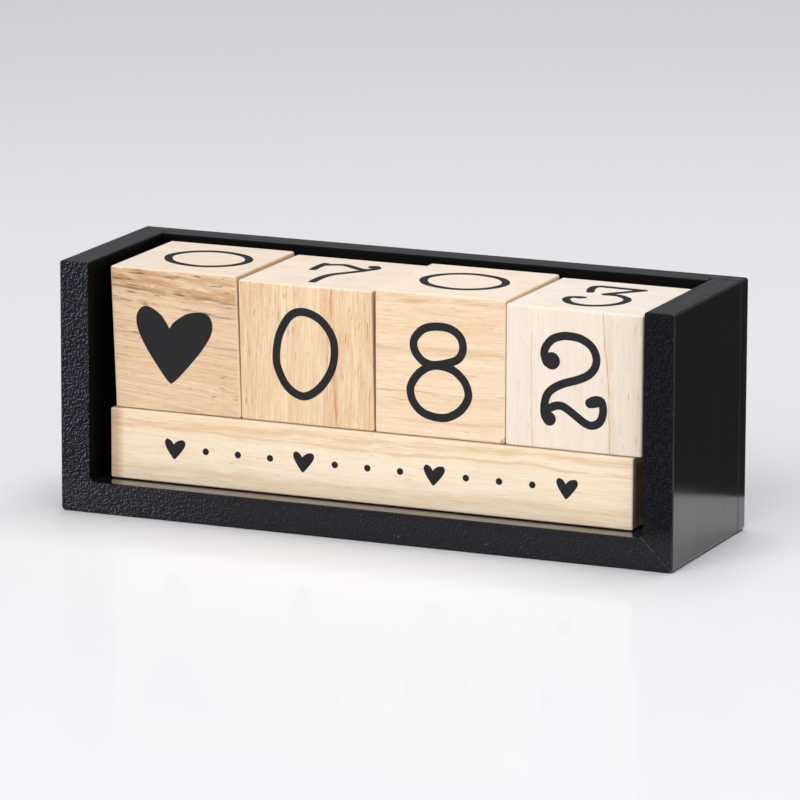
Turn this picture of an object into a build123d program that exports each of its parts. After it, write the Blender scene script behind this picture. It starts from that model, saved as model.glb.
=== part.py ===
"""Cube countdown calendar: an open-fronted tray, a caption bar and four loose wooden cubes.

Millimetres. The origin is the centre of the tray's underside, +Z points up and the open front
faces -Y. The tray is four boards of one thickness, glued and pinned with brads. The bar lies
loose on the bottom board, and the four cubes stand loose on the bar.
"""
from build123d import *
import math
import os

# Wooden blocks: cubes sawn from one square stick, each cut a little shorter than the stick is
# wide, the ones that lie on their side more so, and the bar that they stand on, which is as long
# as the four of them
stick_width = 40.0
upright_shortfall = 0.8
lying_shortfall = 1.7
cube_edge_round = 0.7
bar_height = 20.0
bar_edge_round = 0.5

# Tray: the thickness that its four boards share, and how far it reaches past the blocks
board = 9.0
row_room = 8.3
front_reach = 6.7
top_reach = 1.8
# The part of the back board's thickness that covers the other boards' rear edges
back_lip = 6.3
# Rounding of the tray's corners, of its sawn edges, and of the edges on both sides of a seam
bottom_corner_round = 1.3
top_corner_round = 0.8
rear_edge_round = 1.2
sawn_edge_round = 0.5
seam_chamfer = 0.2

# Brads: flat pins with a T head, driven below the surface by a nail gun and filled over
brad_width = 1.25
brad_thickness = 1.0
brad_length = 18.0
brad_point = 1.5
brad_head_width = 1.9
brad_head = 0.5
brad_cover = 1.0
brad_clearance = 0.05
# Where the brads sit along the boards that they pass through. In the end boards, the back's brads
# share out the height above the points of the corner brads
corner_brad_shares = (0.2, 0.8)
end_brad_shares = (0.08, 0.66)
bottom_brad_shares = (0.2, 0.5, 0.8)

# Room round the loose blocks: under each, between neighbours, and behind
seat_clearance = 0.2
cube_clearance = 0.15
cube_back_clearance = 0.4
bar_back_clearance = 1.0
# How the room along the row is shared out: the part of it left of the cubes, and of the bar
cube_room_share = 0.56
bar_room_share = 0.4

# How true the blocks are. Each stands turned a little about the vertical, in degrees, and the
# sides of three cubes lean to the left by these lengths over their height
bar_turn = -0.2
heart_cube_leans = (1.65, 1.5)
hundreds_cube_leans = (1.05, 0.9)
tens_cube_leans = (0.25, 0.0)
units_cube_leans = (0.0, 0.0)

# Cut length that runs past a surface, so that a cut opens it cleanly
overrun = 1.0


class Cube:
    """One cube: its node, the way its grain runs, its turn in degrees, its two sides' leans."""

    def __init__(self, node, grain_upright, turn, leans):
        self.node = node
        self.width = stick_width if grain_upright else stick_width - lying_shortfall
        self.height = stick_width - upright_shortfall if grain_upright else stick_width
        self.turn = turn
        self.leans = leans


cubes = [
    Cube("heart_cube", grain_upright=False, turn=0.1, leans=heart_cube_leans),
    Cube("hundreds_cube", grain_upright=True, turn=-0.2, leans=hundreds_cube_leans),
    Cube("tens_cube", grain_upright=False, turn=0.2, leans=tens_cube_leans),
    Cube("units_cube", grain_upright=True, turn=-0.6, leans=units_cube_leans),
]

# Spans and planes that several pieces share
bar_length = sum(cube.width for cube in cubes)
inner_width = bar_length + row_room
tray_width = inner_width + 2 * board
tray_depth = front_reach + stick_width + bar_back_clearance + board
bar_base_z = board + seat_clearance
cube_base_z = bar_base_z + bar_height + seat_clearance
tray_height = cube_base_z + stick_width + top_reach
front_y = -tray_depth / 2
rear_y = tray_depth / 2
seam_y = rear_y - back_lip
back_inner_y = rear_y - board
left_inner_x = -inner_width / 2
frame_depth = seam_y - front_y


def tray_frame():
    """Return the bottom and end boards as one U, its sawn front edges eased, not yet cut apart."""
    outside = Pos(0, tray_height / 2) * Rectangle(tray_width, tray_height)
    hollow_height = tray_height - board + overrun
    hollow = Pos(0, board + hollow_height / 2) * Rectangle(inner_width, hollow_height)
    profile = outside - hollow
    profile = fillet(profile.vertices().group_by(Axis.Y)[0], bottom_corner_round)
    profile = fillet(profile.vertices().group_by(Axis.Y)[-1], top_corner_round)
    frame = extrude(Plane.XZ.offset(-front_y) * profile, amount=-frame_depth)
    front = frame.faces().sort_by(Axis.Y)[0]
    frame = fillet(front.edges(), sawn_edge_round)
    rear_rim = frame.edges().group_by(Axis.Y)[-1]
    return chamfer(outer_edges(rear_rim), seam_chamfer)


def outer_edges(rim):
    """Return those of a rim's edges that run round the tray's outside."""
    reach = inner_width / 2 + board / 2
    low = board / 2
    return [
        edge for edge in rim
        if edge.center().Z < low or abs(edge.center().X) > reach
    ]


def mitre_plane(side):
    """Return the 45 degree plane of one lower corner, facing the end board. side is -1 or 1."""
    return Plane(origin=(side * tray_width / 2, 0, 0), z_dir=(side, 0, 1))


def back_board():
    """Return the back board: a lip over the rear edges, and a step that fits between the ends."""
    outline = Pos(0, tray_height / 2) * Rectangle(tray_width, tray_height)
    outline = fillet(outline.vertices().group_by(Axis.Y)[0], bottom_corner_round)
    outline = fillet(outline.vertices().group_by(Axis.Y)[-1], top_corner_round)
    lip = extrude(Plane.XZ.offset(-seam_y) * outline, amount=-back_lip)
    lip = fillet(lip.faces().sort_by(Axis.Y)[-1].edges(), rear_edge_round)
    seam_rim = lip.edges().group_by(Axis.Y)[0]
    lip = chamfer(outer_edges(seam_rim), seam_chamfer)
    step_height = tray_height - board
    step_place = Pos(0, (back_inner_y + seam_y) / 2, board + step_height / 2)
    step = step_place * Box(inner_width, seam_y - back_inner_y, step_height)
    step_top = step.faces().sort_by(Axis.Z)[-1].edges().sort_by(Axis.Y)[0]
    return lip + fillet(step_top, sawn_edge_round)


def brad(clearance=0):
    """Return one brad along +Z from its head at the origin, or its hole, wider by a clearance."""
    head = brad_head_width / 2 + clearance
    shank = brad_width / 2 + clearance
    neck = brad_head + clearance
    point = brad_length - brad_point
    half = [(head, -clearance), (head, neck), (shank, neck), (shank, point)]
    mirrored = [(-x, z) for x, z in reversed(half)]
    outline = Polyline(*half, (0, brad_length + clearance), *mirrored, close=True)
    return extrude(Plane.XZ * make_face(outline), amount=brad_thickness / 2 + clearance, both=True)


def corner_brad_places():
    """Return the places of the brads that go up through the mitres into the end boards."""
    x = tray_width / 2 - board / 2
    depths = [front_y + share * frame_depth for share in corner_brad_shares]
    return [
        Pos(side * x, y, brad_cover) * Rot(0, 0, 90)
        for side in (-1, 1) for y in depths
    ]


def back_brad_places():
    """Return the places of the brads that go forward through the back board's lip."""
    y = rear_y - brad_cover
    x = tray_width / 2 - board / 2
    points_z = brad_cover + brad_length
    end_heights = [points_z + share * (tray_height - points_z) for share in end_brad_shares]
    end_places = [
        Pos(side * x, y, z) * Rot(90, 0, 0) * Rot(0, 0, 90)
        for side in (-1, 1) for z in end_heights
    ]
    bottom_places = [
        Pos(left_inner_x + share * inner_width, y, board / 2) * Rot(90, 0, 0)
        for share in bottom_brad_shares
    ]
    return end_places + bottom_places


def block(width, depth, height, edge_round, leans=(0, 0)):
    """Return a block on its base's centre, its left and right sides leaning left by leans."""
    left, right = -width / 2, width / 2
    left_lean, right_lean = leans
    top_left, top_right = (left - left_lean, height), (right - right_lean, height)
    side_view = make_face(Polyline((left, 0), (right, 0), top_right, top_left, close=True))
    solid = extrude(Plane.XZ * side_view, amount=depth / 2, both=True)
    return fillet(solid.edges(), edge_round)


def pushed_back(width, depth, turn, clearance):
    """Return the y of a turned block's centre, its rear corner just clear of the back board."""
    angle = math.radians(abs(turn))
    half_reach = (depth * math.cos(angle) + width * math.sin(angle)) / 2
    return back_inner_y - clearance - half_reach


def caption_bar():
    """Return the bar in its place on the bottom board."""
    x = left_inner_x + bar_room_share * row_room + bar_length / 2
    y = pushed_back(bar_length, stick_width, bar_turn, bar_back_clearance)
    bar = block(bar_length, stick_width, bar_height, bar_edge_round)
    return Pos(x, y, bar_base_z) * Rot(0, 0, bar_turn) * bar


def cube_centres():
    """Return the x of each cube's base, each one clear of the cube to its left."""
    xs = [left_inner_x + cube_room_share * row_room + cubes[0].width / 2]
    for left, right in zip(cubes, cubes[1:]):
        left_angle, right_angle = math.radians(left.turn), math.radians(right.turn)
        half_widths = (left.width * math.cos(left_angle) + right.width * math.cos(right_angle)) / 2
        swing = abs(math.sin(right_angle) - math.sin(left_angle)) * stick_width / 2
        xs.append(xs[-1] + half_widths + swing + cube_clearance)
    return xs


def placed_cube(cube, x):
    """Return a cube in its place on the bar."""
    y = pushed_back(cube.width, stick_width, cube.turn, cube_back_clearance)
    solid = block(cube.width, stick_width, cube.height, cube_edge_round, cube.leans)
    return Pos(x, y, cube_base_z) * Rot(0, 0, cube.turn) * solid


def tray_pieces():
    """Return the four boards and the two groups of brads, by node."""
    frame = tray_frame()
    left_mitre, right_mitre = mitre_plane(-1), mitre_plane(1)
    boards = {
        "left_end_board": split(frame, bisect_by=left_mitre, keep=Keep.TOP),
        "right_end_board": split(frame, bisect_by=right_mitre, keep=Keep.TOP),
        "back_board": back_board(),
    }
    bottom = split(frame, bisect_by=left_mitre, keep=Keep.BOTTOM)
    boards["bottom_board"] = split(bottom, bisect_by=right_mitre, keep=Keep.BOTTOM)
    hole = brad(brad_clearance)
    places = {"corner_brads": corner_brad_places(), "back_brads": back_brad_places()}
    holes = [place * hole for group in places.values() for place in group]
    pieces = {node: solid - holes for node, solid in boards.items()}
    for node, group in places.items():
        pieces[node] = Compound([place * brad() for place in group])
    return pieces


pieces = tray_pieces()
pieces["caption_bar"] = caption_bar()
for cube, x in zip(cubes, cube_centres()):
    pieces[cube.node] = placed_cube(cube, x)

os.makedirs("parts", exist_ok=True)
for node, shape in pieces.items():
    export_step(shape, f"parts/{node}.step")
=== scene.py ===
"""Looks of the cube countdown calendar: its wood, paint and ink, a studio floor, light and camera.

Metres in the row frame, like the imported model. Sizes of small things are in millimetres and are
turned into metres by MM.
"""
import math

import bmesh
import bpy
from mathutils import Matrix, Vector
from mathutils.geometry import delaunay_2d_cdt


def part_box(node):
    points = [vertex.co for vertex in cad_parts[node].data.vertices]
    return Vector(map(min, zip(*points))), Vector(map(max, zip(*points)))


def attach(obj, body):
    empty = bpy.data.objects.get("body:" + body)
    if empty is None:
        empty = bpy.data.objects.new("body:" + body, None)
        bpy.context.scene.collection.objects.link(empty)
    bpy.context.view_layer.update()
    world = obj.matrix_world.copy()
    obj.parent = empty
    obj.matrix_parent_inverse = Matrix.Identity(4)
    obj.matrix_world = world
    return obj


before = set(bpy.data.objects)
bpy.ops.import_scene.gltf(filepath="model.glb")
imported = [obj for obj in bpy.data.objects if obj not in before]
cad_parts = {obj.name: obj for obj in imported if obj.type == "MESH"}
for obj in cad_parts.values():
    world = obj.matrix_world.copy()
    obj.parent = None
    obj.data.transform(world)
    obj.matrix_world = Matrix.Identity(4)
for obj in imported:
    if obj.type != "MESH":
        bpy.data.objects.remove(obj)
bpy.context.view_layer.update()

MM = 0.001
X = Vector((1, 0, 0))
Y = Vector((0, 1, 0))
Z = Vector((0, 0, 1))


# Places read from the frame

tray_low, tray_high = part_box("back_board")
TRAY_WIDTH = tray_high.x - tray_low.x
FRONT_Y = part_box("bottom_board")[0].y
BACK_INNER_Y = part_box("back_board")[0].y
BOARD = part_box("left_end_board")[1].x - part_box("left_end_board")[0].x
FLOOR_TOP_Z = BOARD


# Colour and material helpers

# The sockets of the node that mixes two colours
MIX_SHARE, MIX_FIRST, MIX_SECOND, MIX_RESULT = 0, 6, 7, 2
# The share of its radius over which a speck is at full strength
SPECK_CORE = 0.4


def srgb(red, green, blue):
    """Return the linear colour of one given as it looks, from 0 to 255."""
    def linear(value):
        share = value / 255
        return share / 12.92 if share <= 0.04045 else ((share + 0.055) / 1.055) ** 2.4
    return (linear(red), linear(green), linear(blue), 1.0)


class Finish:
    """One material and its nodes. Most methods add nodes and return their output socket."""

    def __init__(self, name):
        self.material = bpy.data.materials.new(name)
        self.material.use_nodes = True
        self.tree = self.material.node_tree
        self.tree.nodes.clear()
        self.shader = self.tree.nodes.new("ShaderNodeBsdfPrincipled")
        output = self.tree.nodes.new("ShaderNodeOutputMaterial")
        self.tree.links.new(self.shader.outputs["BSDF"], output.inputs["Surface"])

    def feed(self, socket, value):
        """Link an output socket to an input socket, or set the input to a value."""
        if isinstance(value, bpy.types.NodeSocket):
            self.tree.links.new(value, socket)
        else:
            socket.default_value = value

    def add(self, kind, *inputs, output=0, **settings):
        """Add a node with its settings and its first inputs."""
        node = self.tree.nodes.new(kind)
        for setting, value in settings.items():
            setattr(node, setting, value)
        for socket, value in zip(node.inputs, inputs):
            self.feed(socket, value)
        return node.outputs[output]

    def math(self, operation, *inputs):
        """Return one operation on plain values."""
        return self.add("ShaderNodeMath", *inputs, operation=operation)

    def vector(self, operation, *inputs):
        """Return one operation on vectors."""
        return self.add("ShaderNodeVectorMath", *inputs, operation=operation)

    def axis(self, vector, letter):
        """Return one coordinate of a vector."""
        return self.add("ShaderNodeSeparateXYZ", vector, output="XYZ".index(letter))

    def product(self, first, *others):
        """Return the product of plain values."""
        result = first
        for other in others:
            result = self.math("MULTIPLY", result, other)
        return result

    def total(self, sockets, weights):
        """Return the sum of sockets, each times its weight."""
        result, *others = [self.product(*pair) for pair in zip(sockets, weights)]
        for other in others:
            result = self.math("ADD", result, other)
        return result

    def varied(self, share, least, spread):
        """Return the least where the share is 0, and a spread more where it is 1."""
        return self.math("ADD", self.product(share, spread), least)

    def shift(self, noise, width, middle=0.5):
        """Return a shift to both sides that noise gives round its middle."""
        return self.product(self.math("SUBTRACT", noise, middle), width)

    def either(self, share, first, second):
        """Return first where share is 0 and second where it is 1, for plain values."""
        rest = self.math("SUBTRACT", 1.0, share)
        return self.math("ADD", self.product(rest, first), self.product(share, second))

    def mix(self, share, first, second):
        """Return first where share is 0 and second where it is 1, for colours."""
        node = self.tree.nodes.new("ShaderNodeMix")
        node.data_type = "RGBA"
        self.feed(node.inputs[MIX_SHARE], share)
        self.feed(node.inputs[MIX_FIRST], first)
        self.feed(node.inputs[MIX_SECOND], second)
        return node.outputs[MIX_RESULT]

    def step(self, value, low, high):
        """Return 0 below low, 1 above high, and a smooth rise between. High may be below low."""
        node = self.tree.nodes.new("ShaderNodeMapRange")
        node.interpolation_type = "SMOOTHSTEP"
        names = ("Value", "From Min", "From Max", "To Min", "To Max")
        ends = (value, low, high, 0.0, 1.0) if low < high else (value, high, low, 1.0, 0.0)
        for name, given in zip(names, ends):
            self.feed(node.inputs[name], given)
        return node.outputs[0]

    def noise(self, place, stretch, detail=2.0, roughness=0.5, distortion=0.0):
        """Return noise from 0 to 1 whose cells are 1 / stretch long on each axis, in mm."""
        node = self.tree.nodes.new("ShaderNodeTexNoise")
        scaled = self.vector("MULTIPLY", place, stretch)
        named = {
            "Vector": scaled, "Scale": 1.0, "Detail": detail,
            "Roughness": roughness, "Distortion": distortion,
        }
        for name, value in named.items():
            self.feed(node.inputs[name], value)
        return node.outputs[0]

    def specks(self, across, up, spacing, radius, kept):
        """Return 1 on round specks of a radius in mm, one to a cell of a spacing, a share kept."""
        cells = self.tree.nodes.new("ShaderNodeTexVoronoi")
        cells.voronoi_dimensions = "2D"
        self.feed(cells.inputs["Vector"], self.add("ShaderNodeCombineXYZ", across, up, 0.0))
        cells.inputs["Scale"].default_value = 1 / spacing
        reach = radius / spacing
        dot = self.step(cells.outputs["Distance"], reach, SPECK_CORE * reach)
        drawn = self.axis(cells.outputs["Color"], "X")
        return self.product(dot, self.math("LESS_THAN", drawn, kept))

    def place(self, centre=(0, 0, 0)):
        """Return the point on the object in millimetres from a centre given in metres."""
        coordinates = self.tree.nodes.new("ShaderNodeTexCoord").outputs["Object"]
        from_centre = self.vector("SUBTRACT", coordinates, tuple(centre))
        return self.vector("MULTIPLY", from_centre, (1 / MM, 1 / MM, 1 / MM))

    def facing(self):
        """Return the surface's direction in the object's own axes."""
        return self.tree.nodes.new("ShaderNodeTexCoord").outputs["Normal"]

    def surface(
        self, colour, roughness, height=None, depth=0.0, metallic=0.0, specular=0.5,
        coat=None, coat_roughness=0.0,
    ):
        """Feed the shader and return the material. The height is a bump of a depth in mm."""
        self.feed(self.shader.inputs["Base Color"], colour)
        self.feed(self.shader.inputs["Roughness"], roughness)
        if height is not None:
            bump = self.tree.nodes.new("ShaderNodeBump")
            bump.inputs["Strength"].default_value = 1.0
            bump.inputs["Distance"].default_value = depth * MM
            self.tree.links.new(height, bump.inputs["Height"])
            self.tree.links.new(bump.outputs[0], self.shader.inputs["Normal"])
        self.shader.inputs["Metallic"].default_value = metallic
        self.shader.inputs["Specular IOR Level"].default_value = specular
        if coat is not None:
            self.tree.links.new(coat, self.shader.inputs["Coat Weight"])
            self.shader.inputs["Coat Roughness"].default_value = coat_roughness
        return self.material


def dress(node, material):
    """Give a CAD node its material."""
    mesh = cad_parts[node].data
    mesh.materials.clear()
    mesh.materials.append(material)


# In the materials below, three numbers are the stretch of a noise on each axis, and two are where
# a smooth step starts and where it ends, unless a comment says otherwise. Places and depths are in
# millimetres


# Wood

# Noise, whose first number is along the grain
SWAY = (0.018, 0.03, 0.03)
BANDS = (0.007, 0.10, 0.10)
LINES = (0.04, 1.5, 1.5)
FIBRES = (0.16, 3.0, 3.0)
WANDER = (0.07, 0.05, 0.05)
BREAKS = (0.08, 0.8, 0.8)
DASHES = (0.20, 2.5, 2.5)
CLUSTERS = (0.05, 0.14, 0.14)
RINGS = (0.10, 0.34, 0.34)
RING_DISTORTION = 0.6
# How far apart the pieces of noise are that two blocks show, in mm
SEED_SHIFT = (61.0, 17.0, 29.0)
# How far the grain sways and a streak wanders, in mm
SWAY_WIDTH = 7.0
WANDER_WIDTH = 3.0

# How much the bands, lines and fibres add to the tone, and where it turns to tan, round its middle
TONE_WEIGHTS = (0.9, 0.65, 0.45)
TURNS_TAN = (-0.22, 0.26)
# A streak is full over a share of its half width. Breaks get finer from streak to streak
STREAK_CORE = 0.1
FINER_BREAKS = 0.1
UNBROKEN = (0.32, 0.60)
# Where dashes count as pores, and the heights above the middle from where there are more, in mm
PORES_FROM = (0.70, 0.80)
HIGH_PORES = (5.0, 15.0)

# Faces that look sideways are darker inside a sanded rim in mm: end grain, and painted shade deep
# in the gaps between blocks. On upright wood, whose sides are long grain, the darkening is painted
# shade and weaker
SIDEWAYS = (0.93, 0.99)
SANDED_RIM = (1.2, 3.2)
RING_CONTRAST = 0.5
UPRIGHT_SIDE_SHADE = 0.3
LYING_END_GRAIN_AND_SHADE = 0.8
# The top has a paler tone of its own, a painted sheen, with faint rings
UPWARD = (0.55, 0.9)
TOP_SHEEN_STRENGTH = 0.9
TOP_RINGS = (0.3, 0.75)
TOP_RING_STRENGTH = 0.22
# The darker brown left end, and how ragged its edge is, in mm
LEFT_END_STRENGTH = 0.6
LEFT_END_RAGGED = 2.5
# The bare corner: the slope of its edge, and how ragged and how soft that edge is, in mm
CHIP_STRENGTH = 0.85
CHIP_SLOPE = 1.35
CHIP_RAGGED = 1.4
CHIP_SOFTNESS = (0.5, -0.4)

# Eased edges look between the axes. They are lightened as sanded wood and as a painted highlight,
# and the ones that stand upright are lightened the most
EASED = (0.992, 0.86)
LEVEL_EDGE = (0.2, 0.5)
EDGE_STRENGTHS = (0.5, 0.3)

# What fibres, lines and pores add to the relief, as shares of its depth
WOOD_RELIEF = (0.6, 0.4, -0.3)
WOOD_DEPTH = 0.06
# What lines, pores and eased edges add to the roughness
WOOD_ROUGHNESS = 0.50
ROUGHNESS_WEIGHTS = (0.12, 0.1, -0.06)
WOOD_SPECULAR = 0.4

BROWN = srgb(92, 52, 26)
RUST = srgb(206, 144, 86)
TAN = srgb(214, 170, 120)
SANDED_EDGE_AND_HIGHLIGHT = srgb(250, 232, 208)
END_GRAIN_AND_GAP_SHADE = srgb(150, 104, 64)
SANDED_END = srgb(222, 196, 162)
LEFT_END_BROWN = srgb(176, 128, 84)
CHIPPED = srgb(168, 126, 82)


class Streak:
    """A darker line of grain: its height above the block's middle and its half width in mm, its
    slope, its strength and its colour."""

    def __init__(self, at, slope, half_width, strength, colour):
        self.at = at
        self.slope = slope
        self.half_width = half_width
        self.strength = strength
        self.colour = colour


class Wood(Finish):
    """The wood of one block. The grain runs along X, or along Z where it is upright."""

    def __init__(self, node, upright, seed, tilt):
        super().__init__(f"{node}_wood")
        low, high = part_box(node)
        self.half = (high - low) / 2 / MM
        self.here = self.place((low + high) / 2)
        self.upright = upright
        turn = math.radians(tilt) + (math.pi / 2 if upright else 0)
        rotated = self.add(
            "ShaderNodeVectorRotate", self.here, (0, 0, 0), rotation_type="EULER_XYZ",
        )
        rotated.node.inputs["Rotation"].default_value = (0, turn, 0)
        self.along = self.axis(rotated, "X")
        self.cross = self.axis(rotated, "Z")
        self.seeded = self.vector("ADD", rotated, tuple(length * seed for length in SEED_SHIFT))
        shift = self.shift(self.noise(self.seeded, SWAY, detail=1.0), SWAY_WIDTH)
        offset = self.add("ShaderNodeCombineXYZ", 0.0, shift, shift)
        self.grain = self.vector("ADD", self.seeded, offset)

    def over(self, share, strength, colour):
        """Lay a colour over what there is, where share is 1."""
        self.colour = self.mix(self.product(share, strength), self.colour, colour)

    def body(self, pale, tan, bands):
        """Lay the ground: pale wood with broad bands, lines and fibres in tan."""
        broad = self.noise(self.grain, BANDS)
        self.lines = self.noise(self.grain, LINES, detail=4.0, roughness=0.7)
        self.fibres = self.noise(self.seeded, FIBRES, roughness=0.7)
        band_weight, line_weight, fibre_weight = TONE_WEIGHTS
        weights = (band_weight * bands, line_weight, fibre_weight)
        tone = self.total((broad, self.lines, self.fibres), weights)
        low, high = (sum(weights) / 2 + turn for turn in TURNS_TAN)
        self.colour = self.mix(self.step(tone, low, high), pale, tan)

    def streak(self, index, streak):
        """Lay one streak, broken up along its length."""
        middle = self.math("ADD", self.product(self.along, streak.slope), streak.at)
        wander = self.shift(self.noise(self.seeded, WANDER), WANDER_WIDTH)
        away = self.math("SUBTRACT", self.cross, self.math("ADD", middle, wander))
        away = self.math("ABSOLUTE", away)
        band = self.step(away, streak.half_width, STREAK_CORE * streak.half_width)
        along, deep, high = BREAKS
        stretch = (along, deep, high + FINER_BREAKS * index)
        broken = self.noise(self.seeded, stretch, detail=3.0, roughness=0.7)
        share = self.product(band, self.step(broken, *UNBROKEN))
        self.over(share, streak.strength, streak.colour)

    def pores(self, density, high_density, strength, colour):
        """Lay thin dashes along the grain, with more of them near the top of the block."""
        dashes = self.noise(self.seeded, DASHES, roughness=0.55)
        cluster = self.noise(self.seeded, CLUSTERS, detail=1.0)
        high = self.step(self.axis(self.here, "Z"), *HIGH_PORES)
        extra = self.total((cluster, high), (density, high_density))
        self.marks = self.step(self.math("ADD", dashes, extra), *PORES_FROM)
        self.over(self.marks, strength, colour)

    def rim_distance(self):
        """Return how far a point of a side face is from the nearest edge of that face."""
        place = self.vector("ABSOLUTE", self.here)
        high = self.math("SUBTRACT", self.half.z, self.axis(place, "Z"))
        deep = self.math("SUBTRACT", self.half.y, self.axis(place, "Y"))
        return self.math("MINIMUM", high, deep)

    def ends(self, top):
        """Lay the darker sides, end grain with painted shade deep in the gaps between blocks, and
        the paler tone of the top, a painted sheen.
        """
        facing = self.facing()
        rings = self.noise(self.here, RINGS, distortion=RING_DISTORTION)
        sideways = self.step(self.math("ABSOLUTE", self.axis(facing, "X")), *SIDEWAYS)
        inner = self.step(self.rim_distance(), *SANDED_RIM)
        ringed = self.mix(self.product(rings, RING_CONTRAST), END_GRAIN_AND_GAP_SHADE, TAN)
        strength = UPRIGHT_SIDE_SHADE if self.upright else LYING_END_GRAIN_AND_SHADE
        # Sides darker in their core: end grain, and painted shade in the gaps between blocks
        self.over(sideways, strength, self.mix(inner, SANDED_END, ringed))
        # Faces that look up get a paler tone: a painted sheen
        up = self.step(self.axis(facing, "Z"), *UPWARD)
        ringed = self.mix(self.step(rings, *TOP_RINGS), top, TAN)
        self.over(up, TOP_SHEEN_STRENGTH, self.mix(TOP_RING_STRENGTH, top, ringed))

    def darker_left_end(self, width):
        """Lay a darker brown stretch at the left end, of a width in mm."""
        distance = self.math("ADD", self.axis(self.here, "X"), self.half.x)
        ragged = self.math("SUBTRACT", distance, self.product(self.fibres, LEFT_END_RAGGED))
        self.over(self.step(ragged, width, 0.0), LEFT_END_STRENGTH, LEFT_END_BROWN)

    def chip(self, height):
        """Lay a bare corner at the lower right of the front, of a height in mm."""
        right = self.math("SUBTRACT", self.half.x, self.axis(self.here, "X"))
        up = self.math("ADD", self.axis(self.here, "Z"), self.half.z)
        distance = self.math("ADD", self.product(right, CHIP_SLOPE), up)
        ragged = self.math("ADD", distance, self.product(self.lines, CHIP_RAGGED))
        outer, inner = (height + softness for softness in CHIP_SOFTNESS)
        self.over(self.step(ragged, outer, inner), CHIP_STRENGTH, CHIPPED)

    def eased_edges(self):
        """Return 1 on eased edges and corners, and 0 on flats."""
        direction = self.vector("ABSOLUTE", self.facing())
        x, y, z = (self.axis(direction, letter) for letter in "XYZ")
        largest = self.math("MAXIMUM", self.math("MAXIMUM", x, y), z)
        return self.step(largest, *EASED)

    def finished(self):
        """Lighten the eased edges, as sanded wood and as a painted highlight, add bump and gloss,
        and return the material.
        """
        edge = self.eased_edges()
        level = self.step(self.math("ABSOLUTE", self.axis(self.facing(), "Z")), *LEVEL_EDGE)
        # Eased edges are lighter: sanded wood, and a painted highlight
        self.over(edge, self.either(level, *EDGE_STRENGTHS), SANDED_EDGE_AND_HIGHLIGHT)
        height = self.total((self.fibres, self.lines, self.marks), WOOD_RELIEF)
        roughness = self.total((self.lines, self.marks, edge), ROUGHNESS_WEIGHTS)
        roughness = self.math("ADD", roughness, WOOD_ROUGHNESS)
        return self.surface(self.colour, roughness, height, WOOD_DEPTH, specular=WOOD_SPECULAR)


def dress_in_wood(
    node, upright, pale, tan, top, seed, tilt, bands, pores, pore_colour, streaks,
    darker_left_end=0.0, chip=0.0,
):
    """Give one block its wood. pores says how dense they are, how much denser high up, and how
    strong. top is the paler tone painted on the block's top as a sheen. The darker left end's
    width and the chip's height are in mm."""
    wood = Wood(node, upright, seed, tilt)
    wood.body(pale, tan, bands)
    for index, streak in enumerate(streaks):
        wood.streak(index, streak)
    wood.pores(*pores, pore_colour)
    wood.ends(top)
    if darker_left_end:
        wood.darker_left_end(darker_left_end)
    if chip:
        wood.chip(chip)
    dress(node, wood.finished())


# Black paint

# The sawn front edges are rough under the paint, and the faces are smooth
PEEL = (1.9, 1.5, 1.9)
PITS = (3.6, 3.6, 3.6)
DRAWN = (0.35, 0.35, 0.02)
BRUSHED = (0.5, 0.06, 0.5)
# They are fully rough at the left, and have a share of that roughness at the right. At the left
# they also get a paler painted sheen and stronger painted glints
ROUGH_FROM = (-25.0, -84.0)
RIGHT_ROUGHNESS_SHARE = 0.28
# The relief as shares of its depth: peel and pits where sawn, the mitre's line, and what is drawn,
# brushed and pitted where smooth
PEEL_DEPTH = 0.34
SAWN_RELIEF = (1.0, 0.2)
SEAM_RELIEF = -0.3
SMOOTH_RELIEF = (0.04, 0.04, 0.008)

# Which way a face looks. Those at the ends look inward or outward by x in mm times direction
FORWARD = (-0.35, -0.9)
BACK_FORWARD = (-0.5, -0.9)
BACKWARD = (0.5, 0.9)
UP = (0.5, 0.9)
INWARD = (-10.0, -60.0)
OUTWARD = (10.0, 60.0)
# In mm: how far back the sawn look reaches, where the back board's half of the tray starts, the
# height of the tray's floor, the height up to which the front is greyer and dusty, and the corner
# where an end board's top meets the back board's
SAWN_REACH = (2.0, 1.0)
REAR_HALF = (5.0, 10.0)
FLOOR_BELOW = (20.0, 15.0)
LOW_FRONT = (14.0, 6.0)
CORNER = (-0.5, 0.5)

# The mitre's line: how far it reaches and how crooked it is, in mm, and where it ends above the
# corner. On the right side it is paler grey in places, as wear and as a painted highlight along
# the groove
SEAM = (0.56, 0.12)
SEAM_CROOKED = (0.4, 0.4, 0.4)
CROOKED_WIDTH = 0.5
CROOKED_MIDDLE = 0.3
SEAM_TOP = (1.0, 0.0)
WEAR_AND_HIGHLIGHT = (0.7, 0.7, 0.7)
WORN_AND_HIGHLIT_FROM = (0.42, 0.60)
WORN_AND_HIGHLIT_SIDE = (0.0, 40.0)

# Sawn edges are mottled, have painted glints where their height slopes one way and painted shade
# where it slopes the other way. Both strengths are for the right, then for the left
MOTTLE = (0.9, 0.9, 1.1)
MOTTLED = (0.35, 0.7)
LOW_STRENGTH = 0.85
# How far apart the paint's height is compared to find its slopes, in mm
GLINT_STEP = (-0.20, 0.0, 0.18)
PAINTED_GLINT_SLOPE = (0.04, 0.18)
PAINTED_GLINT_STRENGTHS = (0.12, 0.95)
SHADED_SLOPE = (0.0, -0.14)
SLOPE_SHADE_STRENGTHS = (0.2, 0.7)

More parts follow.
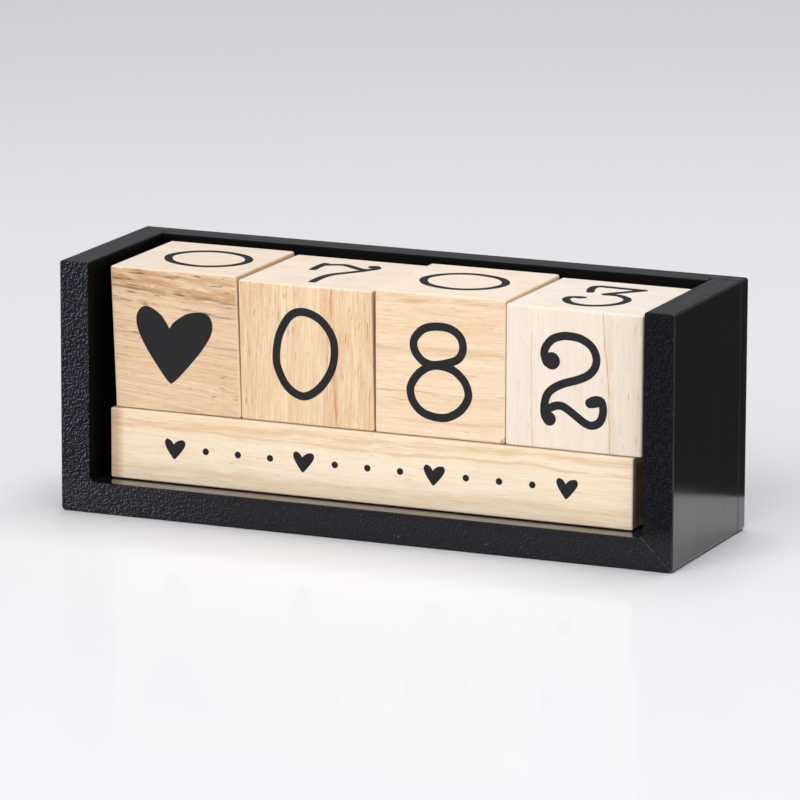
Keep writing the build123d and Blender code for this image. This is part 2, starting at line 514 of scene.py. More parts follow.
# Dust: the spacing and radius of specks in mm, and the share of them that is kept. The strengths
# are of fine dust in bare places and where it settles, and of all dust high up and low down
FINE_DUST = (1.1, 0.17, 0.10)
COARSE_DUST = (5.3, 0.26, 0.12)
COARSE_STRENGTH = 0.7
SETTLING = (0.06, 0.06, 0.2)
SETTLED = (0.4, 0.6)
SETTLED_STRENGTHS = (0.15, 0.45)
LOW_DUST_STRENGTHS = (0.3, 1.0)

# Roughness: the least, and how much noise adds to it
FACE_ROUGHNESS = (0.09, 0.10)
SAWN_ROUGHNESS = (0.18, 0.25)
INSIDE_ROUGHNESS = 0.6
TRAY_FLOOR_ROUGHNESS = 0.06
PAINT_SPECULAR = 0.08
# The clear coat lies full on the outside and on the floor of the tray, and thinner on its top and
# its back. It is brushed on in streaks: the least and the most of it, as shares
COAT_ROUGHNESS = 0.12
TOP_COAT = 0.72
BACK_COAT = 0.8
END_STREAKS = (0.88, 1.0)
TOP_STREAKS = (0.68, 1.18)
STREAKED = (0.3, 0.7)
ALONG_BACK = (0.06, 0.8, 0.8)
ALONG_ENDS = (0.8, 0.06, 0.8)

FACE_BLACK = srgb(11, 10, 12)
# The paler, bluer black on faces that look up is a painted reflection of the surroundings
TOP_BLACK_WITH_PAINTED_REFLECTION = srgb(21, 20, 27)
# Faces inside the tray are painted near black: painted shade
INSIDE_PAINTED_SHADE = srgb(1, 1, 1)
SAWN_DARK = srgb(7, 7, 9)
SAWN_PALE = srgb(21, 21, 27)
# A paler, bluer painted sheen on the sawn edges at the left
SAWN_LEFT_SHEEN = srgb(23, 23, 28)
SAWN_LOW = srgb(40, 39, 42)
# The colours of painted glints and of painted shade on the sawn edges
PAINTED_GLINT = srgb(122, 124, 140)
PAINTED_TROUGH_SHADE = srgb(5, 5, 6)
# Paler grey along the mitre's line: wear and a painted highlight
SEAM_WEAR_AND_HIGHLIGHT = srgb(72, 72, 76)
DUST = srgb(138, 136, 136)


class Paint(Finish):
    """The black paint of the four boards."""

    def __init__(self):
        super().__init__("black_board_paint")
        self.here = self.place()
        self.x, self.y, self.z = (self.axis(self.here, letter) for letter in "XYZ")
        self.facing_x, self.facing_y, self.facing_z = (
            self.axis(self.facing(), letter) for letter in "XYZ"
        )
        on_front = self.step(self.y, *(FRONT_Y / MM + reach for reach in SAWN_REACH))
        self.sawn = self.product(self.step(self.facing_y, *FORWARD), on_front)
        self.left = self.step(self.x, *ROUGH_FROM)
        self.up = self.step(self.facing_z, *UP)
        self.floor = self.product(self.up, self.step(self.z, *FLOOR_BELOW))
        self.low = self.step(self.z, *LOW_FRONT)
        self.pits = self.noise(self.here, PITS, roughness=0.6)
        self.drawn = self.noise(self.here, DRAWN, detail=3.0)
        self.peel = self.peel_at(self.here)
        beyond = self.peel_at(self.vector("ADD", self.here, GLINT_STEP))
        self.slope = self.math("SUBTRACT", self.peel, beyond)
        self.inside = self.inner_faces()
        self.seam = self.mitre()

    def peel_at(self, place):
        """Return the height of the rough paint at a place."""
        return self.noise(place, PEEL, detail=4.0, roughness=0.62)

    def inner_faces(self):
        """Return 1 on the faces that look into the tray from its ends and its back."""
        ends = self.step(self.product(self.x, self.facing_x), *INWARD)
        forward = self.step(self.facing_y, *BACK_FORWARD)
        back = self.product(forward, self.step(self.y, *REAR_HALF))
        return self.math("MAXIMUM", ends, back)

    def mitre(self):
        """Return 1 on the line of each mitre on the front."""
        across = self.math("ABSOLUTE", self.x)
        line = self.math("SUBTRACT", TRAY_WIDTH / 2 / MM, across)
        away = self.math("ABSOLUTE", self.math("SUBTRACT", self.z, line))
        crooked = self.noise(self.here, SEAM_CROOKED, detail=1.0)
        crooked = self.shift(crooked, CROOKED_WIDTH, CROOKED_MIDDLE)
        share = self.step(self.math("ADD", away, crooked), *SEAM)
        low = self.step(self.z, *(BOARD / MM + above for above in SEAM_TOP))
        return self.product(share, low)

    def sawn_colour(self):
        """Return the colour of the sawn edges: mottled, with a painted sheen at the left, painted
        glints and painted shade in troughs.
        """
        mottled = self.step(self.noise(self.here, MOTTLE, detail=3.0), *MOTTLED)
        colour = self.mix(mottled, SAWN_DARK, SAWN_PALE)
        # A paler, bluer painted sheen towards the left
        colour = self.mix(self.left, colour, SAWN_LEFT_SHEEN)
        colour = self.mix(self.product(self.low, LOW_STRENGTH), colour, SAWN_LOW)
        # Painted glints and painted shade, from the slope of the paint's height
        painted_glint = self.step(self.slope, *PAINTED_GLINT_SLOPE)
        painted_glint = self.product(painted_glint, self.either(self.left, *PAINTED_GLINT_STRENGTHS))
        colour = self.mix(painted_glint, colour, PAINTED_GLINT)
        painted_shade = self.step(self.slope, *SHADED_SLOPE)
        painted_shade = self.product(painted_shade, self.either(self.left, *SLOPE_SHADE_STRENGTHS))
        return self.mix(painted_shade, colour, PAINTED_TROUGH_SHADE)

    def dust(self):
        """Return the share of dust, in specks."""
        settled = self.step(self.noise(self.here, SETTLING), *SETTLED)
        fine = self.specks(self.x, self.z, *FINE_DUST)
        fine = self.product(fine, self.either(settled, *SETTLED_STRENGTHS))
        coarse = self.product(self.specks(self.x, self.z, *COARSE_DUST), COARSE_STRENGTH)
        dust = self.math("MAXIMUM", fine, coarse)
        return self.product(dust, self.either(self.low, *LOW_DUST_STRENGTHS))

    def colours(self):
        """Return the colour: black, with a painted bluish reflection on top and painted shade
        inside, other on the sawn edges, with a line at each mitre that is worn and painted as a
        highlight, and dust there.
        """
        # Faces that look up get a painted bluish reflection
        colour = self.mix(self.up, FACE_BLACK, TOP_BLACK_WITH_PAINTED_REFLECTION)
        colour = self.mix(self.sawn, colour, self.sawn_colour())
        # Painted shade on the faces inside the tray
        colour = self.mix(self.inside, colour, INSIDE_PAINTED_SHADE)
        # Paler grey in places along the mitre's line: wear and a painted highlight
        worn_and_highlit = self.step(self.noise(self.here, WEAR_AND_HIGHLIGHT), *WORN_AND_HIGHLIT_FROM)
        right = self.step(self.x, *WORN_AND_HIGHLIT_SIDE)
        colour = self.mix(self.product(self.seam, worn_and_highlit, right, self.sawn), colour, SEAM_WEAR_AND_HIGHLIGHT)
        return self.mix(self.product(self.dust(), self.sawn), colour, DUST)

    def gloss(self):
        """Return the roughness: satin faces, duller sawn and inner ones, a glossy floor."""
        face = self.varied(self.drawn, *FACE_ROUGHNESS)
        sawn = self.varied(self.pits, *SAWN_ROUGHNESS)
        roughness = self.either(self.sawn, face, sawn)
        roughness = self.either(self.inside, roughness, INSIDE_ROUGHNESS)
        return self.either(self.floor, roughness, TRAY_FLOOR_ROUGHNESS)

    def coat(self):
        """Return how much clear coat there is: none on the sawn edges and inside."""
        outside = self.step(self.product(self.x, self.facing_x), *OUTWARD)
        drawn = self.step(self.drawn, *STREAKED)
        outside = self.product(outside, self.either(drawn, *END_STREAKS))
        back = self.product(self.step(self.facing_y, *BACKWARD), BACK_COAT)
        top = self.product(self.math("SUBTRACT", self.up, self.floor), TOP_COAT)
        top = self.product(top, self.either(self.brushed(), *TOP_STREAKS))
        sides = self.math("MAXIMUM", outside, back)
        return self.math("MAXIMUM", sides, self.math("MAXIMUM", top, self.floor))

    def brushed(self):
        """Return streaks along each board's top, from 0 to 1."""
        inner = (TRAY_WIDTH / 2 - BOARD) / MM
        on_end = self.step(self.math("ABSOLUTE", self.x), *(inner + reach for reach in CORNER))
        along_back = self.noise(self.here, ALONG_BACK, detail=3.0, roughness=0.6)
        along_ends = self.noise(self.here, ALONG_ENDS, detail=3.0, roughness=0.6)
        return self.step(self.either(on_end, along_back, along_ends), *STREAKED)

    def relief(self):
        """Return the height of the surface as a share of PEEL_DEPTH."""
        rough = self.total((self.peel, self.pits), SAWN_RELIEF)
        rough = self.product(rough, self.either(self.left, RIGHT_ROUGHNESS_SHARE, 1.0))
        rough = self.math("ADD", rough, self.product(self.seam, SEAM_RELIEF))
        brushed = self.noise(self.here, BRUSHED)
        smooth = self.total((self.drawn, brushed, self.pits), SMOOTH_RELIEF)
        return self.either(self.sawn, smooth, rough)


def board_paint():
    """Return the tray's paint: satin on faces, rough on the sawn front, a line at each mitre."""
    paint = Paint()
    return paint.surface(
        paint.colours(), paint.gloss(), paint.relief(), PEEL_DEPTH,
        specular=PAINT_SPECULAR, coat=paint.coat(), coat_roughness=COAT_ROUGHNESS,
    )


# Ink, and the steel of the brads

INK_FIBRES = (1.6, 1.6, 1.6)
INK_TONES = (0.3, 0.8)
INK_GAPS = (1.1, 1.1, 1.1)
GAPS_FROM = (0.80, 0.83)
GAP_STRENGTH = 0.7
# The least roughness, and how much noise adds to it
INK_ROUGHNESS = (0.58, 0.2)
INK_DEPTH = 0.02
INK_SPECULAR = 0.34
INK_DARK = srgb(20, 19, 24)
INK_PALE = srgb(32, 31, 36)
INK_GAP = srgb(110, 100, 92)

WIRE_LINES = (6.0, 6.0, 0.4)
WIRE_ROUGHNESS = (0.25, 0.2)
WIRE_DEPTH = 0.01
WIRE_DARK = srgb(168, 170, 172)
WIRE_PALE = srgb(206, 207, 208)


def printing_ink():
    """Return matt charcoal ink, thin enough that the wood's fibres show in it a little."""
    finish = Finish("printing_ink")
    place = finish.place()
    fibres = finish.noise(place, INK_FIBRES, detail=3.0, roughness=0.65)
    gaps = finish.step(finish.noise(place, INK_GAPS, detail=1.0), *GAPS_FROM)
    colour = finish.mix(finish.step(fibres, *INK_TONES), INK_DARK, INK_PALE)
    colour = finish.mix(finish.product(gaps, GAP_STRENGTH), colour, INK_GAP)
    roughness = finish.varied(fibres, *INK_ROUGHNESS)
    return finish.surface(colour, roughness, fibres, INK_DEPTH, specular=INK_SPECULAR)


def brad_steel():
    """Return bright drawn wire, with fine lines along its length."""
    finish = Finish("brad_steel_wire")
    lines = finish.noise(finish.place(), WIRE_LINES, detail=3.0, roughness=0.6)
    colour = finish.mix(lines, WIRE_DARK, WIRE_PALE)
    roughness = finish.varied(lines, *WIRE_ROUGHNESS)
    return finish.surface(colour, roughness, lines, WIRE_DEPTH, metallic=1.0)


# Making objects

def placed(name, data):
    """Return a new object in the scene, of a mesh, a light or a camera."""
    thing = bpy.data.objects.new(name, data)
    bpy.context.scene.collection.objects.link(thing)
    return thing


def piece_of(name, solid, material):
    """Return a new object of a closed shape in one material."""
    mesh = bpy.data.meshes.new(name)
    solid.to_mesh(mesh)
    solid.free()
    mesh.materials.append(material)
    return placed(name, mesh)


# Prints: glyphs in millimetres from the middle of a face, and how each is pressed on

# Glyphs are drawn for a face 41.5 mm wide, and go on one of 40 mm
GLYPH_SCALE = 40.0 / 41.5
STROKE = 2.38
INK_PROUD = 0.05
INK_SUNK = 0.03
CURVE_STEP = 0.55
CAP_SIDES = 24


def smooth(points, closed):
    """Return points along a Catmull-Rom curve through the given ones, about CURVE_STEP apart."""
    count = len(points)
    spans = count if closed else count - 1

    def at(index):
        return points[index % count] if closed else points[max(0, min(count - 1, index))]

    result = []
    for span in range(spans):
        before, start, end, after = (Vector(at(span + k)) for k in (-1, 0, 1, 2))
        steps = max(2, round((end - start).length / CURVE_STEP))
        for step in range(steps):
            t = step / steps
            result.append(0.5 * (
                2 * start + (end - before) * t
                + (2 * before - 5 * start + 4 * end - after) * t ** 2
                + (3 * start - 3 * end + after - before) * t ** 3
            ))
    return result if closed else result + [Vector(points[-1])]


def disc(centre, radius):
    """Return the polygon of a round dot."""
    x, y = centre
    turns = [2 * math.pi * index / CAP_SIDES for index in range(CAP_SIDES)]
    return [Vector((x + radius * math.cos(a), y + radius * math.sin(a))) for a in turns]


def stroke(*points, closed=False):
    """Return the polygons of a stroke along a curve, with round ends."""
    line = smooth(points, closed)
    count = len(line)
    sides = []
    for index, point in enumerate(line):
        before = line[index - 1] if closed or index else point
        after = line[(index + 1) % count] if closed or index < count - 1 else point
        along = (after - before).normalized()
        sides.append((point, Vector((-along.y, along.x)) * STROKE / 2))
    pairs = zip(sides, sides[1:] + (sides[:1] if closed else []))
    polygons = [[p - a, q - b, q + b, p + a] for (p, a), (q, b) in pairs]
    if not closed:
        polygons += [disc(line[0], STROKE / 2), disc(line[-1], STROKE / 2)]
    return polygons


def corner_shape(*sides):
    """Return one polygon whose sides are smooth curves that meet at corners."""
    polygon = []
    for side in sides:
        polygon += smooth(side, False)[:-1]
    return [polygon]


HEART_LEFT = (
    (0.0, 4.3), (-2.8, 8.2), (-7.4, 10.4), (-10.2, 8.1), (-10.2, 4.0), (-7.4, -1.9), (-1.7, -9.9),
    (0.4, -12.0),
)
HEART_RIGHT = (
    (0.4, -12.0), (3.1, -9.7), (10.4, -1.1), (13.6, 5.1), (11.9, 9.4), (6.4, 9.3), (1.8, 6.6),
    (0.0, 4.3),
)

ZERO = (
    (-0.6, 12.3), (4.5, 10.5), (8.2, 6.1), (9.1, 1.1), (7.9, -4.4), (4.1, -9.8), (-0.7, -12.3),
    (-5.5, -10.0), (-8.5, -4.9), (-9.1, -0.5), (-8.0, 5.5), (-4.8, 10.8),
)
WIDE_ZERO = (
    (0.0, 12.2), (6.6, 9.9), (10.4, 4.3), (10.6, -2.0), (7.3, -8.8), (0.8, -12.2), (-6.2, -10.2),
    (-10.3, -4.6), (-10.6, 1.8), (-7.2, 8.6),
)

GLYPHS = {
    "heart": corner_shape(HEART_LEFT, HEART_RIGHT),
    "0": stroke(*ZERO, closed=True),
    "wide_0": stroke(*WIDE_ZERO, closed=True),
    "1": (
        stroke((-5.2, 8.2), (-2.2, 9.8), (0.4, 12.4))
        + stroke((0.4, 12.4), (0.2, 0.0), (0.2, -12.3))
        + stroke((-5.6, -12.4), (0.2, -12.2), (6.0, -12.3))
    ),
    "2": (
        stroke(
            (-9.0, 5.6), (-9.5, 7.4), (-9.1, 9.4), (-7.2, 11.8), (-4.3, 13.0), (-1.6, 13.2),
            (1.7, 12.7), (4.8, 10.8), (6.3, 7.8), (5.9, 4.9), (4.0, 2.6), (0.9, 1.0), (-3.5, -0.5),
            (-6.4, -2.0), (-8.3, -3.8), (-9.2, -6.3), (-9.4, -8.8), (-9.0, -10.7), (-7.9, -11.4),
        )
        + stroke(
            (-8.5, -8.4), (-6.2, -7.2), (-4.1, -7.0), (-2.0, -8.0), (0.7, -9.8), (3.2, -11.4),
            (5.3, -11.8), (7.4, -10.7), (8.4, -8.4), (8.4, -5.9), (7.6, -4.4), (5.4, -5.1),
        )
        + [disc((-7.2, 5.7), 2.5), disc((-8.2, 5.6), 1.9), disc((-7.8, -11.0), 2.0)]
        + [disc((4.5, -5.4), 1.45), disc((5.4, -5.1), 1.65), disc((6.3, -4.85), 1.7)]
        + [disc((7.0, -4.6), 1.45)]
    ),
    "3": (
        stroke((-6.6, 5.4), (-7.8, 9.0), (-8.0, 12.4), (-6.6, 13.8))
        + stroke((-6.6, 13.8), (0.0, 13.4), (6.6, 13.2))
        + stroke((6.6, 13.2), (3.4, 9.4), (-0.6, 5.0))
        + stroke(
            (-1.4, 3.6), (2.9, 3.4), (6.6, 0.2), (7.6, -4.0), (6.2, -8.6), (2.6, -12.0),
            (-1.6, -13.0), (-6.0, -11.4), (-8.8, -7.6), (-9.2, -4.4), (-7.8, -3.2), (-5.6, -2.9),
        )
        + [disc((-6.3, -3.2), 1.55), disc((-0.9, 3.9), 1.6)]
    ),
    "4": (
        stroke((4.6, -12.6), (4.6, 12.4))
        + stroke((4.6, 12.4), (-8.8, -4.8))
        + stroke((-8.8, -4.8), (0.0, -4.6), (9.0, -4.8))
    ),
    "5": (
        stroke((7.2, 12.2), (0.4, 12.2), (-6.2, 12.3))
        + stroke((-6.2, 12.3), (-6.6, 7.0), (-7.0, 2.0))
        + stroke(
            (-7.0, 2.0), (-2.6, 3.8), (2.6, 3.4), (7.2, -0.4), (8.2, -5.2), (5.8, -10.4),
            (0.2, -12.4), (-5.4, -11.2), (-8.4, -7.6),
        )
    ),
    "6": (
        stroke((5.8, 12.2), (-1.6, 8.6), (-6.6, 2.6), (-8.6, -4.4))
        + stroke(
            (-8.6, -5.0), (-6.4, -10.0), (-0.4, -12.4), (5.8, -10.4), (8.4, -5.2), (6.0, -0.2),
            (0.2, 1.8), (-5.8, -0.4), closed=True,
        )
    ),
    "7": (
        stroke((-9.0, 4.3), (-9.2, 9.0), (-9.0, 13.2))
        + stroke(
            (-9.0, 11.4), (-6.0, 13.0), (-3.2, 13.8), (-0.2, 12.2), (3.6, 9.8), (6.2, 10.2),
            (7.5, 12.8), (5.9, 15.0),
        )
        + stroke((6.4, 10.2), (3.0, 4.8), (-0.6, 0.0), (-1.9, -5.2), (-1.8, -12.2))
        + [disc((5.9, 14.3), 1.85)]
    ),
    "8": (
        stroke(
            (-0.8, 12.4), (3.0, 11.9), (5.8, 9.9), (6.7, 6.9), (5.9, 4.3), (3.6, 2.6), (-2.0, 1.2),
            (-5.3, 1.9), (-7.7, 4.2), (-8.5, 6.9), (-7.6, 9.3), (-4.9, 11.6), closed=True,
        )
        + stroke(
            (-0.8, 1.1), (-4.0, 0.4), (-7.0, -1.8), (-9.1, -5.0), (-9.3, -7.6), (-8.2, -10.4),
            (-5.6, -12.8), (-1.6, -13.9), (2.2, -13.6), (5.9, -11.4), (8.2, -8.0), (8.2, -5.2),
            (6.8, -2.4), (3.6, 0.2), closed=True,
        )
    ),
}

# Each side of a block: the way that it faces, and the way that its print stands up
SIDES = {
    "front": (-Y, Z),
    "back": (Y, Z),
    "left": (-X, Z),
    "right": (X, Z),
    "top": (Z, Y),
    "bottom": (-Z, Y),
}

# The print on each side of each cube: its glyph, its turn in degrees, and where its middle is.
# Any number from 0 to 365 can be set with three of the cubes, with the 6 turned over as a 9.
PRINTS = {
    "heart_cube": {
        "front": ("heart", 0, (-1.8, -0.5)),
        "top": ("wide_0", 90, (1.7, -0.2)),
        "back": ("1", 0, (0.3, 0.2)),
        "left": ("2", 0, (0.8, -0.4)),
        "right": ("4", 0, (-0.2, 0.4)),
        "bottom": ("5", 90, (0.0, 0.5)),
    },
    "hundreds_cube": {
        "front": ("0", 0, (-0.1, 0.3)),
        "top": ("7", 0, (1.5, -2.3)),
        "back": ("3", 0, (0.6, -0.5)),
        "left": ("1", 0, (-0.4, 0.0)),
        "right": ("2", 0, (0.9, 0.2)),
        "bottom": ("6", 180, (0.2, -0.3)),
    },
    "tens_cube": {
        "front": ("8", 0, (0.4, -0.85)),
        "top": ("wide_0", 90, (-0.9, -0.5)),
        "back": ("5", 0, (0.2, 0.3)),
        "left": ("3", 0, (0.4, 0.2)),
        "right": ("1", 0, (-0.6, -0.2)),
        "bottom": ("2", -90, (0.4, 0.4)),
    },
    "units_cube": {
        "front": ("2", 0, (0.5, -0.55)),
        "top": ("3", 0, (1.15, -0.8)),
        "back": ("6", 0, (-0.3, 0.3)),
        "left": ("7", 0, (0.2, -0.6)),
        "right": ("4", 0, (0.3, 0.0)),
        "bottom": ("8", 90, (0.0, -0.3)),
    },
}

# The bar's row of ornaments: small hearts, with dots between them
ORNAMENT_STEP = 9.8
ORNAMENTS = 13
HEART_EVERY = 4
SMALL_HEART_SCALE = 0.26
DOT_RADIUS = 0.95

# How alike two directions are, as the cosine between them
NEARLY_ALIKE = 0.998
ALIKE = 0.999999
# What the triangulation gives back, and how close points are that it merges
INNER_TRIANGLES = 1
MERGED_WITHIN = 1e-5


def flat_side(node, facing):
    """Return the middle and the direction of the flat face of a node that looks one way."""
    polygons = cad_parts[node].data.polygons
    nearly = [face for face in polygons if face.normal.dot(facing) > NEARLY_ALIKE]
    normal = max(nearly, key=lambda face: face.area).normal.copy()
    flat = [face for face in nearly if face.normal.dot(normal) > ALIKE]
    area = sum(face.area for face in flat)
    middle = sum((face.center * face.area for face in flat), Vector()) / area
    return middle, normal


def side_place(node, side):
    """Return the matrix that takes millimetres on a flat face to the row frame."""
    facing, up = SIDES[side]
    middle, normal = flat_side(node, facing)
    right = up.cross(normal).normalized()
    upright = normal.cross(right)
    axes = Matrix((right, upright, normal)).transposed().to_4x4()
    return Matrix.Translation(middle) @ axes @ Matrix.Scale(MM, 4)


def moved(polygons, shift, scale, turn=0.0):
    """Return polygons scaled, turned by degrees and shifted in their own plane."""
    matrix = Matrix.Translation((*shift, 0)) @ Matrix.Rotation(math.radians(turn), 4, "Z")
    return [[(matrix @ (p * scale).to_3d()).to_2d() for p in polygon] for polygon in polygons]


def joined(polygons):
    """Return the points and triangles of the area that overlapping polygons cover together."""
    points, faces = [], []
    for polygon in polygons:
        faces.append(list(range(len(points), len(points) + len(polygon))))
        points += polygon
    corners, _, triangles, _, _, sources = delaunay_2d_cdt(
        points, [], faces, INNER_TRIANGLES, MERGED_WITHIN,
    )
    return corners, [tri for tri, source in zip(triangles, sources) if source]


def pressed(name, polygons, place, body, material):
    """Make a thin closed solid of ink from flat polygons, and let it ride on a body."""
    corners, triangles = joined(polygons)
    solid = bmesh.new()
    top = [solid.verts.new((p.x, p.y, INK_PROUD)) for p in corners]
    base = [solid.verts.new((p.x, p.y, -INK_SUNK)) for p in corners]
    # The edges that belong to one triangle only, in order
    border = {}
    for tri in triangles:
        solid.faces.new([top[index] for index in tri])
        solid.faces.new([base[index] for index in reversed(tri)])
        for start, end in zip(tri, tri[1:] + tri[:1]):
            if (end, start) in border:
                del border[(end, start)]
            else:
                border[(start, end)] = True
    for start, end in border:
        solid.faces.new((top[start], base[start], base[end], top[end]))
    loose = [vert for vert in solid.verts if not vert.link_faces]
    bmesh.ops.delete(solid, geom=loose, context="VERTS")
    bmesh.ops.recalc_face_normals(solid, faces=solid.faces)
    solid.transform(place)
    piece = piece_of(name, solid, material)
    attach(piece, body)


def print_cubes(material):
    """Press a glyph on each side of each cube."""
    for node, sides in PRINTS.items():
        for side, (glyph, turn, middle) in sides.items():
            polygons = moved(GLYPHS[glyph], middle, GLYPH_SCALE, turn)
            name = f"{node}_{side}_print"
            pressed(name, polygons, side_place(node, side), node, material)


def print_bar(material):
    """Press the row of hearts and dots on the bar's front."""
    polygons = []
    for index in range(ORNAMENTS):
        x = (index - (ORNAMENTS - 1) / 2) * ORNAMENT_STEP
        if index % HEART_EVERY:
            polygons.append(disc((x, 0), DOT_RADIUS))
        else:
            polygons += moved(GLYPHS["heart"], (x, 0.0), SMALL_HEART_SCALE)
    place = side_place("caption_bar", "front")
    pressed("caption_bar_ornament", polygons, place, "caption_bar", material)


# Beads of paint in the tray's two lower inside corners

BEAD = 1.4
BEAD_SUNK = 0.25
BEAD_STEPS = 6
BEAD_START = 0.15


def paint_bead(name, side, material):
    """Make a hollow-fronted bead of paint along one lower corner. side is -1 or 1."""
    arc = [math.pi / 2 * index / BEAD_STEPS for index in range(BEAD_STEPS + 1)]
    outline = [(BEAD * (1 - math.sin(a)), BEAD * (1 - math.cos(a))) for a in arc]
    outline += [(-BEAD_SUNK, BEAD), (-BEAD_SUNK, -BEAD_SUNK), (BEAD, -BEAD_SUNK)]
    inner_x = side * (TRAY_WIDTH / 2 - BOARD)
    ends = (FRONT_Y + BEAD_START * MM, BACK_INNER_Y + BEAD_SUNK * MM)
    solid = bmesh.new()
    front, rear = (
        [solid.verts.new((inner_x - side * u * MM, y, FLOOR_TOP_Z + v * MM)) for u, v in outline]
        for y in ends
    )
    solid.faces.new(front)
    solid.faces.new(reversed(rear))
    for index in range(len(outline)):
        following = (index + 1) % len(outline)
        solid.faces.new((front[index], rear[index], rear[following], front[following]))
    bmesh.ops.recalc_face_normals(solid, faces=solid.faces)
    piece = piece_of(name, solid, material)
    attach(piece, "tray")


# The finish of each piece

paint = board_paint()
for board in ("bottom_board", "left_end_board", "right_end_board", "back_board"):
    dress(board, paint)
steel = brad_steel()
for group in ("corner_brads", "back_brads"):
    dress(group, steel)

# Each block's top colour is the paler painted sheen on its top
dress_in_wood(
    "heart_cube", upright=False, pale=srgb(243, 217, 185), tan=srgb(214, 172, 128),
    top=srgb(240, 229, 213), seed=1, tilt=-4.0, bands=0.6, pores=(0.09, 0.055, 0.8),
    pore_colour=BROWN,
    streaks=(
        Streak(17.0, 0.0, 9.5, 0.8, srgb(194, 144, 96)),
        Streak(13.4, 0.0, 0.9, 0.65, BROWN),
        Streak(9.4, 0.0, 0.5, 0.55, BROWN),
        Streak(0.5, 0.0, 0.35, 0.5, BROWN),
    ),
)
dress_in_wood(
    "hundreds_cube", upright=True, pale=srgb(250, 227, 194), tan=srgb(224, 182, 134),
    top=srgb(243, 230, 216), seed=2, tilt=-1.5, bands=0.5, pores=(0.15, 0.0, 0.7),
    pore_colour=srgb(150, 98, 54),
    streaks=(
        Streak(-8.2, 0.08, 0.7, 0.75, RUST),
        Streak(-7.0, 0.06, 3.2, 0.35, RUST),
        Streak(3.0, 0.0, 4.0, 0.3, TAN),
    ),
)
dress_in_wood(
    "tens_cube", upright=False, pale=srgb(252, 228, 200), tan=srgb(234, 197, 156),
    top=srgb(245, 232, 216), seed=3, tilt=0.5, bands=0.5, pores=(0.09, 0.0, 0.5),
    pore_colour=srgb(190, 138, 86), chip=2.7,
    streaks=(
        Streak(18.0, 0.0, 1.2, 0.6, TAN),
        Streak(4.4, 0.0, 2.2, 0.55, TAN),
        Streak(-7.2, 0.0, 0.35, 0.45, srgb(176, 122, 78)),
        Streak(-15.5, 0.0, 1.0, 0.35, RUST),
    ),
)
dress_in_wood(
    "units_cube", upright=True, pale=srgb(247, 234, 219), tan=srgb(237, 220, 200),
    top=srgb(242, 234, 224), seed=4, tilt=0.5, bands=0.3, pores=(0.11, 0.0, 0.55),
    pore_colour=srgb(184, 134, 88),
    streaks=(
        Streak(-9.6, 0.07, 0.4, 0.75, srgb(196, 144, 92)),
        Streak(-10.6, 0.07, 2.0, 0.25, TAN),
        Streak(12.5, 0.0, 0.3, 0.4, srgb(196, 150, 106)),
    ),
)
dress_in_wood(
    "caption_bar", upright=False, pale=srgb(255, 240, 216), tan=srgb(244, 214, 176),
    top=srgb(240, 226, 208), seed=5, tilt=0.3, bands=0.6, pores=(0.08, 0.0, 0.5),
    pore_colour=srgb(182, 132, 84), darker_left_end=3.6,
    streaks=(
        Streak(7.6, 0.005, 1.8, 0.5, srgb(222, 176, 124)),
        Streak(5.2, -0.01, 0.9, 0.4, RUST),
        Streak(-6.0, 0.0, 1.6, 0.25, TAN),
    ),
)

ink = printing_ink()
print_cubes(ink)
print_bar(ink)
paint_bead("left_paint_bead", -1, paint)
paint_bead("right_paint_bead", 1, paint)


# Studio: a plain pale floor in two halves of one finish, which meet on a line behind the object

FLOOR_REACH = 4.0
FLOOR_COLOUR = srgb(233, 234, 237)
FLOOR_ROUGHNESS = 0.08
FLOOR_GLOSS = 0.012
# Two points on the line where the halves meet
FLOOR_LINE = (Vector((-0.1955, 0.1402)), Vector((0.0930, 0.0675)))


def floor_half(name, side, material):
    """Lay the half of the floor on one side of its line: 1 is behind it, -1 in front."""
    start, end = FLOOR_LINE
    along = (end - start).normalized()
    back = Vector((-along.y, along.x)) * side
    corners = (
        start - along * FLOOR_REACH, start + along * FLOOR_REACH,
        start + (along + back) * FLOOR_REACH, start + (back - along) * FLOOR_REACH,
    )
    mesh = bpy.data.meshes.new(name)
    mesh.from_pydata([(*corner, 0) for corner in corners], [], [(0, 1, 2, 3)[::side]])
    mesh.materials.append(material)
    half = placed(name, mesh)
    return half


pale = Finish("pale_floor").surface(FLOOR_COLOUR, FLOOR_ROUGHNESS, specular=FLOOR_GLOSS)
floor_half("front_floor", -1, pale)
rear_floor = floor_half("rear_floor", 1, pale)
# Behind the object the paint mirrors the dim air of the studio, not the floor
rear_floor.visible_glossy = False


# How bright the air is along an axis: two places on it, and the level up to the first and from the
# second. The levels are multiplied, and the tray's top mirrors the dim air low down behind it
FRONT_TO_BACK = (-0.3, 0.7, 0.55, 1.0)
LOW_BEHIND = (0.62, 0.88, 1.0, 0.6)
OVERHEAD = (-0.10, 0.16, 0.09, 0.285)
AIR_COLOUR = srgb(252, 251, 255)


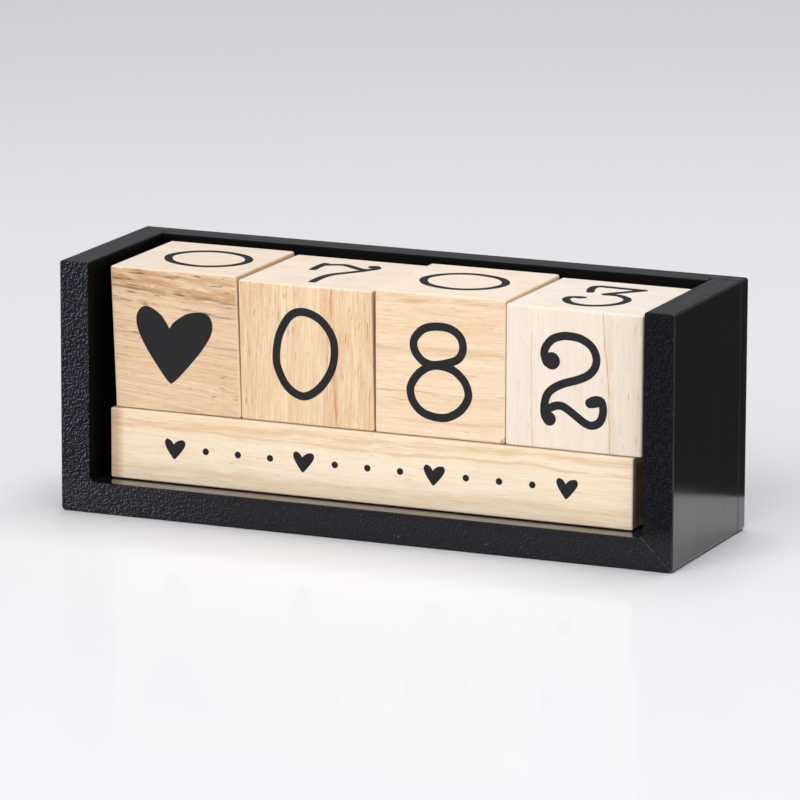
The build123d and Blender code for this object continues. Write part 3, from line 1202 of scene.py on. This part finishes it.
def studio_air():
    """Make the surroundings: dim at and below the horizon, and brighter overhead."""
    world = bpy.data.worlds.new("studio_air")
    bpy.context.scene.world = world
    world.use_nodes = True
    tree = world.node_tree
    direction = tree.nodes.new("ShaderNodeTexCoord").outputs["Generated"]
    split = tree.nodes.new("ShaderNodeSeparateXYZ")
    tree.links.new(direction, split.inputs[0])
    level = None
    for axis, values in (("Y", FRONT_TO_BACK), ("Y", LOW_BEHIND), ("Z", OVERHEAD)):
        ramp = tree.nodes.new("ShaderNodeMapRange")
        ramp.interpolation_type = "SMOOTHSTEP"
        for name, value in zip(("From Min", "From Max", "To Min", "To Max"), values):
            ramp.inputs[name].default_value = value
        tree.links.new(split.outputs[axis], ramp.inputs["Value"])
        if level is None:
            level = ramp.outputs[0]
            continue
        product = tree.nodes.new("ShaderNodeMath")
        product.operation = "MULTIPLY"
        tree.links.new(level, product.inputs[0])
        tree.links.new(ramp.outputs[0], product.inputs[1])
        level = product.outputs[0]
    sky = tree.nodes["Background"]
    sky.inputs["Color"].default_value = AIR_COLOUR
    tree.links.new(level, sky.inputs["Strength"])


studio_air()

# The point that the lights look at
OBJECT_MIDDLE = Vector((0, 0, 0.04))


def softbox(name, place, size, watts):
    """Add a square soft light that looks at the object."""
    lamp = bpy.data.lights.new(name, "AREA")
    lamp.shape = "SQUARE"
    lamp.size = size
    lamp.energy = watts
    holder = placed(name, lamp)
    holder.location = place
    aim = OBJECT_MIDDLE - Vector(place)
    holder.rotation_euler = aim.to_track_quat("-Z", "Y").to_euler()


softbox("key_light", (-0.3, -2.0, 1.5), 1.9, 44.0)
softbox("fill_light", (1.7, -1.5, 1.0), 1.2, 9.0)
softbox("top_light", (0.1, 0.5, 2.0), 1.4, 26.5)


# Camera, solved from the tray's corners in the photo, which is PHOTO_SIDE pixels square

PHOTO_SIDE = 800
FOCAL_PIXELS = 6492.7
SENSOR_WIDTH = 36.0
AZIMUTH = 23.242
ELEVATION = 12.413
ROLL = 0.201
CAMERA_PLACE = (0.69319, -1.61550, 0.42097)

lens = bpy.data.cameras.new("photo_camera")
lens.sensor_width = SENSOR_WIDTH
lens.lens = FOCAL_PIXELS / PHOTO_SIDE * SENSOR_WIDTH
camera = placed("photo_camera", lens)
camera.matrix_world = (
    Matrix.Translation(CAMERA_PLACE)
    @ Matrix.Rotation(math.radians(AZIMUTH), 4, "Z")
    @ Matrix.Rotation(math.radians(90 - ELEVATION), 4, "X")
    @ Matrix.Rotation(math.radians(ROLL), 4, "Z")
)
bpy.context.scene.camera = camera
bpy.context.scene.view_settings.view_transform = "Standard"
